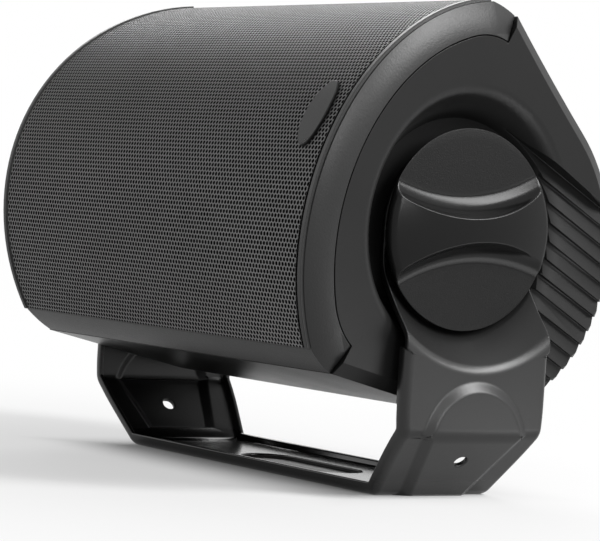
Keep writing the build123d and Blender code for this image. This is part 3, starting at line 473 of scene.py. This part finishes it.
def powder_coat(name, colour):
    """Satin powder coat with the orange-peel that such paint has, glossier on the base."""
    finish = Finish(name)
    peel = finish.noise(1.6 * MM, 1.0)
    specks = finish.noise(0.4 * MM, 2.0)
    patches = finish.noise(40 * MM, 2.0)
    _, _, z = finish.axes()
    return finish.done(
        Base_Color=finish.mottled(patches, colour, 0.92, 1.1),
        Roughness=0.14 + z.span(3 * MM, 9 * MM) * 0.22 + specks.swing(0.1),
        Specular_IOR_Level=0.45,
        Normal=finish.bump(peel * 0.7 + specks * 0.3, 0.03 * MM),
    )


def sheet_paint(name, colour, sizes):
    """Paint on the perforated sheet: satin between the holes, rough on the hole walls, whose colour is made
    nearly black as painted shade.
    """
    finish = Finish(name)
    grain = finish.noise(0.5 * MM, 2.0)
    patches = finish.noise(45 * MM, 3.0)
    _, y, z = finish.axes()
    away = off_roll_axis(y, z - PIVOT.z, sizes.centre)
    # Painted shade: below the sheet's outer face, on the walls of the holes, the paint turns nearly black and
    # rougher.
    inside = 1.0 - away.span(sizes.radius - 0.3 * MM, sizes.radius - 0.06 * MM)
    tone = finish.mottled(patches, colour, 0.9, 1.12)
    return finish.done(
        # The nearly black colour on the hole walls is painted shade.
        Base_Color=finish.blend(inside, tone, (0.0015, 0.0015, 0.0015)),
        Roughness=0.47 + grain.swing(0.15) + inside * 0.5,
        Specular_IOR_Level=0.2,
        Normal=finish.bump(grain, 0.02 * MM),
    )


def plain_finish(name, colour, roughness, metallic=0.0, grain=0.6 * MM, relief=0.015 * MM, gleam=0.5):
    """A finish with fine grain, for the badge and for small and inner pieces."""
    finish = Finish(name)
    spots = finish.noise(grain, 3.0)
    patches = finish.noise(12 * MM, 2.0)
    return finish.done(
        Base_Color=finish.mottled(patches, colour, 0.85, 1.15),
        Roughness=roughness + spots.swing(0.2),
        Metallic=metallic,
        Specular_IOR_Level=gleam,
        Normal=finish.bump(spots, relief),
    )


def dress(node, material):
    """Give a CAD node its finish."""
    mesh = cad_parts[node].data
    mesh.materials.clear()
    mesh.materials.append(material)


def new_piece(name, mesh, body, slot, *nodes):
    """Add a finished piece that moves with a body and stands for CAD nodes."""
    piece = bpy.data.objects.new(name, mesh)
    bpy.context.scene.collection.objects.link(piece)
    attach(piece, body)
    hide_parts(*nodes)


def crisp(mesh, degrees):
    """Smooth shading that stops at edges sharper than the angle."""
    mesh.shade_smooth()
    mesh.set_sharp_from_angle(angle=math.radians(degrees))


def baked(piece):
    """The plain mesh of an object with its modifiers worked in; the object goes."""
    graph = bpy.context.evaluated_depsgraph_get()
    mesh = bpy.data.meshes.new_from_object(piece.evaluated_get(graph))
    mesh.name = piece.name
    bpy.data.objects.remove(piece)
    return mesh


def mark_edges(work, pinch):
    """Weight the keen edges for rounding, apart from those that run into a pinched corner."""
    weight = work.edges.layers.float.new("bevel_weight_edge")
    keen = {edge for edge in work.edges if edge.is_manifold and edge.calc_face_angle() > KEEN_ANGLE}
    for edge in keen:
        pinched = False
        for vert in edge.verts:
            way = edge.other_vert(vert).co - vert.co
            for other in vert.link_edges:
                if other in keen and other is not edge:
                    across = other.other_vert(vert).co - vert.co
                    pinched = pinched or way.angle(across, 0.0) < pinch
        edge[weight] = 0.0 if pinched else 1.0


def softened(node, body, slot, material, width, segments=2, pinch=PINCH_ANGLE):
    """A copy of a CAD node with its edges rounded off, in place of the node."""
    name = node + "_soft"
    work = bmesh.new()
    work.from_mesh(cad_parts[node].data)
    bmesh.ops.remove_doubles(work, verts=work.verts, dist=WELD)
    bmesh.ops.dissolve_limit(work, angle_limit=FLAT_ANGLE, verts=work.verts, edges=work.edges)
    bmesh.ops.connect_verts_concave(work, faces=work.faces)
    mark_edges(work, pinch)
    mesh = bpy.data.meshes.new(name)
    work.to_mesh(mesh)
    work.free()
    mesh.materials.append(material)
    mesh.shade_smooth()
    piece = bpy.data.objects.new(name, mesh)
    bpy.context.scene.collection.objects.link(piece)
    bevel = piece.modifiers.new("Edges", "BEVEL")
    bevel.width = width
    bevel.segments = segments
    bevel.limit_method = "WEIGHT"
    bevel.use_clamp_overlap = False
    bevel.miter_outer = "MITER_ARC"
    weighted = piece.modifiers.new("Normals", "WEIGHTED_NORMAL")
    weighted.keep_sharp = True
    new_piece(name, baked(piece), body, slot, node)


def bar_arc(sizes):
    """Radius of the bow that the grip bar's foot follows."""
    bow = KNOB_END_HALF - sizes.waist
    return (KNOB_END_REACH ** 2 + bow ** 2) / (2 * bow)


def bar_foot(sizes, along):
    """Half width of the grip bar's foot at a place along the bar."""
    arc = bar_arc(sizes)
    return sizes.waist + arc - math.sqrt(arc ** 2 - along ** 2)


def cove_start(sizes):
    """Distance from the bar's foot at which a scoop's floor turns up into the cove."""
    return sizes.foot_fillet * math.tan((math.pi / 2 - KNOB_DRAFT) / 2)


def soft_least(one, other, reach):
    """The lesser of two heights, rounded off where they come within the reach of each other."""
    near = max(reach - abs(one - other), 0.0)
    return min(one, other) - near * near / (4 * reach)


def scoop_height(sizes, gap):
    """Height of a scoop's floor, cove and drafted wall at a distance from the bar's foot."""
    cove = sizes.foot_fillet
    start = cove_start(sizes)
    if gap >= start:
        return 0.0
    if gap >= -start * math.sin(KNOB_DRAFT):
        return cove - math.sqrt(cove ** 2 - (start - gap) ** 2)
    return start * math.cos(KNOB_DRAFT) + (-start * math.sin(KNOB_DRAFT) - gap) / math.tan(KNOB_DRAFT)


def knob_height(sizes, along, across):
    """Height of the knob's face over the scoop floors: the crowned bar, less the two scoops."""
    reach = math.hypot(along, across)
    drop = sizes.rise - sizes.end_rise
    crown = (sizes.end_radius ** 2 + drop ** 2) / (2 * drop)
    dome = sizes.rise - crown + math.sqrt(crown ** 2 - min(reach, sizes.radius) ** 2)
    slope = (sizes.radius - reach) * sizes.end_rise / (sizes.radius - sizes.end_radius)
    face = soft_least(dome, slope, KNOB_END_ROUND)
    lean = math.cos(math.asin(along / bar_arc(sizes)))
    gap = (abs(across) - bar_foot(sizes, along)) * lean
    return soft_least(face, scoop_height(sizes, gap), KNOB_EDGE_ROUND)


def knob_stations(sizes, along, limit):
    """Places across the knob where a column of the face has its points, thickest at the bar's edge."""
    foot = bar_foot(sizes, along)
    start = cove_start(sizes)
    edge = foot
    for _ in range(KNOB_EDGE_TRIES):
        height = knob_height(sizes, along, 0.0) - (edge ** 2) / (2 * KNOB_CROWN)
        wall = height - start * math.cos(KNOB_DRAFT)
        edge = foot - start * math.sin(KNOB_DRAFT) - wall * math.tan(KNOB_DRAFT)
    marks = [0.0, edge - KNOB_EDGE_BAND, edge + KNOB_EDGE_BAND, foot + KNOB_COVE_REACH, limit]
    places = []
    for low, high, count in zip(marks, marks[1:], KNOB_STATIONS):
        places += [low + (high - low) * k / count for k in range(count)]
    places.append(limit)
    last = len(places) - 1
    room = [limit * (1 - KNOB_STATION_GAP * (last - k)) for k in range(len(places))]
    return [min(place, most) for place, most in zip(places, room)]


def rim_profile(sizes, inner, wedge):
    """Rings from the rim to the end of the bore: radius, height and share of the face's own height."""
    profile = []
    for k in range(1, KNOB_RIM_STEPS + 1):
        angle = math.pi / 2 - (math.pi - wedge) * k / KNOB_RIM_STEPS
        profile.append((
            inner + KNOB_RIM_ROUND * math.cos(angle),
            -KNOB_RIM_ROUND + KNOB_RIM_ROUND * math.sin(angle),
            1 - k / KNOB_RIM_STEPS,
        ))
    low = sizes.back - sizes.floor
    bore_end = low + KNOB_BORE_DEPTH
    return profile + [(sizes.back_radius, low, 0.0), (KNOB_BORE, low, 0.0), (KNOB_BORE, bore_end, 0.0)]


def knob_mesh(name, sizes, side, material):
    """The knob's face as columns of points across the grip bar, with its rim, skirt and back."""
    work = bmesh.new()

    def point(along, across, height):
        y = along * math.cos(KNOB_TURN) - across * math.sin(KNOB_TURN)
        z = along * math.sin(KNOB_TURN) + across * math.cos(KNOB_TURN)
        return work.verts.new((side * (sizes.floor + height), y, PIVOT.z + z))

    wedge = math.atan2(sizes.floor - sizes.back, sizes.radius - sizes.back_radius)
    inner = sizes.radius - KNOB_RIM_ROUND / math.tan(wedge / 2)
    grid = []
    brim = []
    for step in range(1, KNOB_COLUMNS):
        along = -inner * math.cos(math.pi * step / KNOB_COLUMNS)
        limit = math.sqrt(inner ** 2 - along ** 2)
        half = knob_stations(sizes, along, limit)
        places = [-place for place in reversed(half[1:])] + half
        grid.append([point(along, across, knob_height(sizes, along, across)) for across in places])
        brim.append((along, limit))
    for left, right in zip(grid, grid[1:]):
        for k in range(len(left) - 1):
            work.faces.new((left[k], right[k], right[k + 1], left[k + 1]))
    tips = [point(end * inner, 0.0, knob_height(sizes, inner, 0.0)) for end in (-1, 1)]
    for tip, column in zip(tips, (grid[0], grid[-1])):
        for k in range(len(column) - 1):
            work.faces.new((tip, column[k], column[k + 1]))

    far = [column[-1] for column in grid]
    near = [column[0] for column in reversed(grid)]
    ring = [tips[0]] + far + [tips[1]] + near
    near_brim = [(along, -limit) for along, limit in reversed(brim)]
    spots = [(-inner, 0.0)] + brim + [(inner, 0.0)] + near_brim
    heights = [knob_height(sizes, *spot) for spot in spots]
    for radius, height, share in rim_profile(sizes, inner, wedge):
        row = [
            point(along * radius / inner, across * radius / inner, height + top * share)
            for (along, across), top in zip(spots, heights)
        ]
        for k in range(len(ring)):
            follows = (k + 1) % len(ring)
            work.faces.new((ring[k], ring[follows], row[follows], row[k]))
        ring = row
    work.faces.new(ring)
    bmesh.ops.recalc_face_normals(work, faces=work.faces)
    mesh = bpy.data.meshes.new(name)
    work.to_mesh(mesh)
    work.free()
    mesh.materials.append(material)
    crisp(mesh, KNOB_CRISP)
    return mesh


def perforation_cell(sizes):
    """One six-sided cell of the sheet with a hole and the hole's wall."""
    work = bmesh.new()
    corner = sizes.pitch / math.sqrt(3)
    rims = []
    for count, radius in ((6, corner), (sizes.hole_sides, sizes.hole_radius)):
        turn = math.pi / count
        angles = [turn + math.tau * k / count for k in range(count)]
        ring = [work.verts.new((radius * math.cos(angle), radius * math.sin(angle), 0)) for angle in angles]
        rims.append([work.edges.new((ring[k], ring[(k + 1) % count])) for k in range(count)])
    bmesh.ops.triangle_fill(work, use_beauty=True, edges=rims[0] + rims[1], normal=(0, 0, 1))
    wall = bmesh.ops.extrude_edge_only(work, edges=rims[1])
    deep = [part for part in wall["geom"] if isinstance(part, bmesh.types.BMVert)]
    bmesh.ops.translate(work, verts=deep, vec=(0, 0, -sizes.hole_depth))
    bmesh.ops.recalc_face_normals(work, faces=work.faces)
    if sum(face.normal.z for face in work.faces) < 0:
        bmesh.ops.reverse_faces(work, faces=work.faces)
    mesh = bpy.data.meshes.new("perforation_cell")
    work.to_mesh(mesh)
    work.free()
    return bpy.data.objects.new("perforation_cell", mesh)


def perforated_tree(cell, sizes, material):
    """Node tree that lays the cells in staggered rows, trims them and rolls the sheet."""
    tree = bpy.data.node_groups.new("Perforated sheet", "GeometryNodeTree")
    tree.interface.new_socket("Geometry", in_out="OUTPUT", socket_type="NodeSocketGeometry")
    labels = ("Pitch", "Radius", "Half arc", "Centre", "End inset", "Side")
    for label in labels:
        tree.interface.new_socket(label, in_out="INPUT", socket_type="NodeSocketFloat")
    given = tree.nodes.new("NodeGroupInput")
    pitch, radius, half_arc, centre, inset, side = [Wire(tree, given.outputs[label]) for label in labels]
    row_share = math.sqrt(3) / 2
    row = pitch * row_share

    def place():
        return split_axes(tree, add_node(tree, "GeometryNodeInputPosition"))

    def end_limit(arc):
        step = centre + radius * (arc / radius).cos() - END_WALL_START
        return END_WALL_HALF + step * END_WALL_LEAN + step * step / (2 * END_WALL_BOW) - inset

    # Points in staggered rows
    columns = 2 * round(FIELD_HALF_LENGTH / sizes.pitch) + 1
    rows = 2 * round(FIELD_HALF_ARC / (sizes.pitch * row_share)) + 1
    grid = tree.nodes.new("GeometryNodeMeshGrid")
    grid.inputs["Vertices X"].default_value = columns
    grid.inputs["Vertices Y"].default_value = rows
    plug(tree, grid.inputs["Size X"], pitch * (columns - 1))
    plug(tree, grid.inputs["Size Y"], row * (rows - 1))
    _, y, _ = place()
    odd = (y / row + EVEN_COUNT).rounded() % 2.0
    laid = add_node(
        tree, "GeometryNodeSetPosition", Geometry=Wire(tree, grid.outputs["Mesh"]),
        Offset=add_node(tree, "ShaderNodeCombineXYZ", X=odd * pitch * 0.5 - pitch * 0.25),
    )

    # Points past the sheet's edges, or on its other half, go
    x, y, _ = place()
    outside = (abs(x) - end_limit(y)).above(pitch * TRIM_SHARE)
    above = (abs(y) - half_arc).above(pitch * TRIM_SHARE)
    other = (-(x * side)).above(0.0)
    kept = tree.nodes.new("GeometryNodeDeleteGeometry")
    kept.domain = "POINT"
    plug(tree, kept.inputs["Geometry"], laid)
    plug(tree, kept.inputs["Selection"], outside.at_least(above).at_least(other))

    # A cell on each point, all welded to one flat sheet
    source = tree.nodes.new("GeometryNodeObjectInfo")
    source.inputs["Object"].default_value = cell
    spread = add_node(
        tree, "GeometryNodeInstanceOnPoints", Points=Wire(tree, kept.outputs[0]),
        Instance=Wire(tree, source.outputs["Geometry"]),
    )
    real = add_node(tree, "GeometryNodeRealizeInstances", Geometry=spread)
    welded = add_node(tree, "GeometryNodeMergeByDistance", Geometry=real, Distance=WELD)

    # The sheet drawn in to its edges and rolled
    x, y, z = place()
    arc = y.at_most(half_arc).at_least(-half_arc)
    limit = end_limit(arc)
    along = x.at_most(limit).at_least(-limit)
    turn = arc / radius
    height = (radius + z) * turn.sin()
    depth = centre + (radius + z) * turn.cos()
    rolled = add_node(
        tree, "GeometryNodeSetPosition", Geometry=welded,
        Position=add_node(
            tree, "ShaderNodeCombineXYZ", X=along,
            Y=height * UPWARD.y + depth * FORWARD.y,
            Z=height * UPWARD.z + depth * FORWARD.z + PIVOT.z,
        ),
    )
    painted = add_node(tree, "GeometryNodeSetMaterial", Geometry=rolled, Material=material)
    out = tree.nodes.new("NodeGroupOutput")
    plug(tree, out.inputs[0], painted)
    return tree


def grown(name, tree, values):
    """The plain mesh that a node tree gives for these inputs."""
    seed = bpy.data.objects.new(name + "_seed", bpy.data.meshes.new(name + "_seed"))
    bpy.context.scene.collection.objects.link(seed)
    modifier = seed.modifiers.new("Nodes", "NODES")
    modifier.node_group = tree
    for item in tree.interface.items_tree:
        if item.in_out == "INPUT":
            modifier[item.identifier] = values[item.name]
    mesh = baked(seed)
    mesh.name = name
    return mesh


class SPEAKER_OT_grille(bpy.types.Operator):
    """Roll the perforated sheet that fills the front"""

    bl_idname = "speaker.grille"
    bl_label = "Perforated grille"

    def execute(self, context):
        sizes = context.scene.speaker_grille
        paint = sheet_paint("grille_paint", context.scene.speaker_finish.sheet, sizes)
        cell = perforation_cell(sizes)
        tree = perforated_tree(cell, sizes, paint)
        for side, name in ((1.0, "grille_right"), (-1.0, "grille_left")):
            mesh = grown(name, tree, {
                "Pitch": sizes.pitch,
                "Radius": sizes.radius,
                "Half arc": sizes.radius * math.asin(sizes.half_height / sizes.radius),
                "Centre": sizes.centre,
                "End inset": sizes.end_inset + side * sizes.end_play,
                "Side": side,
            })
            crisp(mesh, GRILLE_CRISP)
            new_piece(name, mesh, "cabinet", "grille_sheet", "grille")
        bpy.data.objects.remove(cell)
        return {"FINISHED"}


class SPEAKER_OT_cabinet(bpy.types.Operator):
    """Finish the moulded shell, the frame and the badge"""

    bl_idname = "speaker.cabinet"
    bl_label = "Cabinet mouldings"

    def execute(self, context):
        colour = context.scene.speaker_finish.moulding
        shell = moulded_plastic("shell_plastic", colour, 0.33)
        rim = moulded_plastic(
            "frame_plastic", colour, 0.38, grain=0.9 * MM, relief=0.06 * MM, gleam=0.36,
            sheet=context.scene.speaker_grille,
        )
        badge = plain_finish("badge_satin", (0.008, 0.008, 0.008), 0.34, gleam=0.25)
        softened("rear_shell", "cabinet", "shell_plastic", shell, SHELL_ROUND)
        softened("grille_frame", "cabinet", "frame_plastic", rim, FRAME_ROUND, pinch=FRAME_PINCH_ANGLE)
        softened("badge", "cabinet", "badge", badge, BADGE_ROUND, segments=3)
        return {"FINISHED"}


class SPEAKER_OT_knobs(bpy.types.Operator):
    """Build and finish the clamp knobs"""

    bl_idname = "speaker.knobs"
    bl_label = "Clamp knobs"

    def execute(self, context):
        sizes = context.scene.speaker_knob
        finish = knob_plastic("knob_plastic", context.scene.speaker_finish.moulding, sizes.floor)
        for way, side in ((1.0, "right"), (-1.0, "left")):
            name = f"clamp_knob_{side}_soft"
            mesh = knob_mesh(name, sizes, way, finish)
            new_piece(name, mesh, f"knob_{side}", "knob_plastic", f"clamp_knob_{side}")
        return {"FINISHED"}


class SPEAKER_OT_bracket(bpy.types.Operator):
    """Finish the pressed bracket"""

    bl_idname = "speaker.bracket"
    bl_label = "Pressed bracket"

    def execute(self, context):
        powder = powder_coat("bracket_powder", context.scene.speaker_finish.powder)
        softened("mounting_bracket", "bracket", "bracket_paint", powder, BRACKET_ROUND, segments=3)
        return {"FINISHED"}


class SPEAKER_OT_fittings(bpy.types.Operator):
    """Finish the terminals, the pivot hardware and everything inside the cabinet"""

    bl_idname = "speaker.fittings"
    bl_label = "Fittings and drivers"

    def execute(self, context):
        for name, colour, roughness, options, nodes in FITTINGS:
            finish = plain_finish(name, colour, roughness, **options)
            for node in nodes:
                dress(node, finish)
        return {"FINISHED"}


def shown_rays(tree):
    """1 for the rays that should meet a white background: camera, glossy and transmission rays."""
    path = tree.nodes.new("ShaderNodeLightPath")
    labels = ("Is Camera Ray", "Is Glossy Ray", "Is Transmission Ray")
    camera, glossy, through = [Wire(tree, path.outputs[label]) for label in labels]
    return camera.at_least(glossy).at_least(through)


def lay_floor(scene):
    """A wide pale floor that keeps the shadow and turns white away from the bracket."""
    signs = ((-1, -1), (1, -1), (1, 1), (-1, 1))
    mesh = bpy.data.meshes.new("floor")
    mesh.from_pydata([(x * FLOOR_HALF, y * FLOOR_HALF, 0) for x, y in signs], [], [(0, 1, 2, 3)])
    floor = bpy.data.objects.new("floor", mesh)
    scene.collection.objects.link(floor)
    paper = Finish("floor_paper")
    tree = paper.tree
    across, along, _ = paper.axes()
    away = (across * across + along * along) ** 0.5
    beside = (abs(across) - FOOT_HALF_LENGTH).at_least(abs(along) - FOOT_HALF_WIDTH)
    share = WHITE_UNDER + beside.span(-10 * MM, 40 * MM) * WHITE_BESIDE + away.span(0.12, 0.5) * WHITE_AWAY
    mixed = tree.nodes.new("ShaderNodeMixShader")
    plug(tree, mixed.inputs[0], shown_rays(tree) * share)
    plug(tree, mixed.inputs[1], add_node(tree, "ShaderNodeBsdfDiffuse", Color=FLOOR_COLOUR))
    plug(tree, mixed.inputs[2], add_node(tree, "ShaderNodeEmission", Color=WHITE, Strength=1.0))
    tree.links.new(mixed.outputs[0], tree.nodes["Material Output"].inputs["Surface"])
    mesh.materials.append(paper.material)


def light_world(scene):
    """A world that is white where it is seen and only a faint fill otherwise."""
    world = bpy.data.worlds.new("studio")
    world.use_nodes = True
    scene.world = world
    sky = world.node_tree
    background = sky.nodes["Background"]
    plug(sky, background.inputs["Color"], WHITE)
    plug(sky, background.inputs["Strength"], shown_rays(sky) * (1.0 - AMBIENT) + AMBIENT)


def area_lamp(name, place, target, size, energy):
    """A soft box aimed at a point."""
    data = bpy.data.lights.new(name, "AREA")
    data.shape = "RECTANGLE"
    data.size, data.size_y = size
    data.energy = energy
    lamp = bpy.data.objects.new(name, data)
    lamp.location = place
    lamp.rotation_euler = (Vector(target) - Vector(place)).to_track_quat("-Z", "Y").to_euler()
    bpy.context.scene.collection.objects.link(lamp)


def set_camera(scene):
    """A long lens, nearly level and slightly rolled."""
    level = math.cos(CAMERA_LIFT)
    back = Vector((math.sin(CAMERA_TURN) * level, -math.cos(CAMERA_TURN) * level, math.sin(CAMERA_LIFT)))
    flat = Vector((math.cos(CAMERA_TURN), math.sin(CAMERA_TURN), 0.0))
    steep = back.cross(flat)
    right = flat * math.cos(CAMERA_ROLL) + steep * math.sin(CAMERA_ROLL)
    up = steep * math.cos(CAMERA_ROLL) - flat * math.sin(CAMERA_ROLL)
    place = CAMERA_TARGET + back * CAMERA_DISTANCE
    data = bpy.data.cameras.new("camera")
    data.sensor_width = CAMERA_SENSOR
    data.lens = CAMERA_LENS
    camera = bpy.data.objects.new("camera", data)
    rows = [(right[k], up[k], back[k], place[k]) for k in range(3)] + [(0, 0, 0, 1)]
    camera.matrix_world = Matrix(rows)
    scene.collection.objects.link(camera)
    scene.camera = camera


class SPEAKER_OT_stage(bpy.types.Operator):
    """Set up the pale floor, the soft light and the camera"""

    bl_idname = "speaker.stage"
    bl_label = "Studio stage"

    def execute(self, context):
        scene = context.scene
        scene.view_settings.view_transform = "Standard"
        lay_floor(scene)
        light_world(scene)
        for lamp in LAMPS:
            area_lamp(*lamp)
        set_camera(scene)
        return {"FINISHED"}


class SPEAKER_PT_panel(bpy.types.Panel):
    """Buttons for the speaker's pieces, with their sizes and colours"""

    bl_idname = "SPEAKER_PT_panel"
    bl_label = "Patio speaker"
    bl_space_type = "VIEW_3D"
    bl_region_type = "UI"
    bl_category = "Speaker"

    def draw(self, context):
        scene = context.scene
        for operator in OPERATORS:
            self.layout.operator(operator.bl_idname)
        for group in (scene.speaker_grille, scene.speaker_knob, scene.speaker_finish):
            for key in group.__annotations__:
                self.layout.prop(group, key)


OPERATORS = (
    SPEAKER_OT_grille,
    SPEAKER_OT_cabinet,
    SPEAKER_OT_knobs,
    SPEAKER_OT_bracket,
    SPEAKER_OT_fittings,
    SPEAKER_OT_stage,
)
CLASSES = (SpeakerGrille, SpeakerKnob, SpeakerFinish, *OPERATORS, SPEAKER_PT_panel)


def register():
    for kind in CLASSES:
        bpy.utils.register_class(kind)
    bpy.types.Scene.speaker_grille = PointerProperty(type=SpeakerGrille)
    bpy.types.Scene.speaker_knob = PointerProperty(type=SpeakerKnob)
    bpy.types.Scene.speaker_finish = PointerProperty(type=SpeakerFinish)


def unregister():
    del bpy.types.Scene.speaker_finish
    del bpy.types.Scene.speaker_knob
    del bpy.types.Scene.speaker_grille
    for kind in reversed(CLASSES):
        bpy.utils.unregister_class(kind)


def main():
    register()
    bpy.ops.speaker.grille()
    bpy.ops.speaker.cabinet()
    bpy.ops.speaker.knobs()
    bpy.ops.speaker.bracket()
    bpy.ops.speaker.fittings()
    bpy.ops.speaker.stage()


if __name__ == "__main__":
    main()
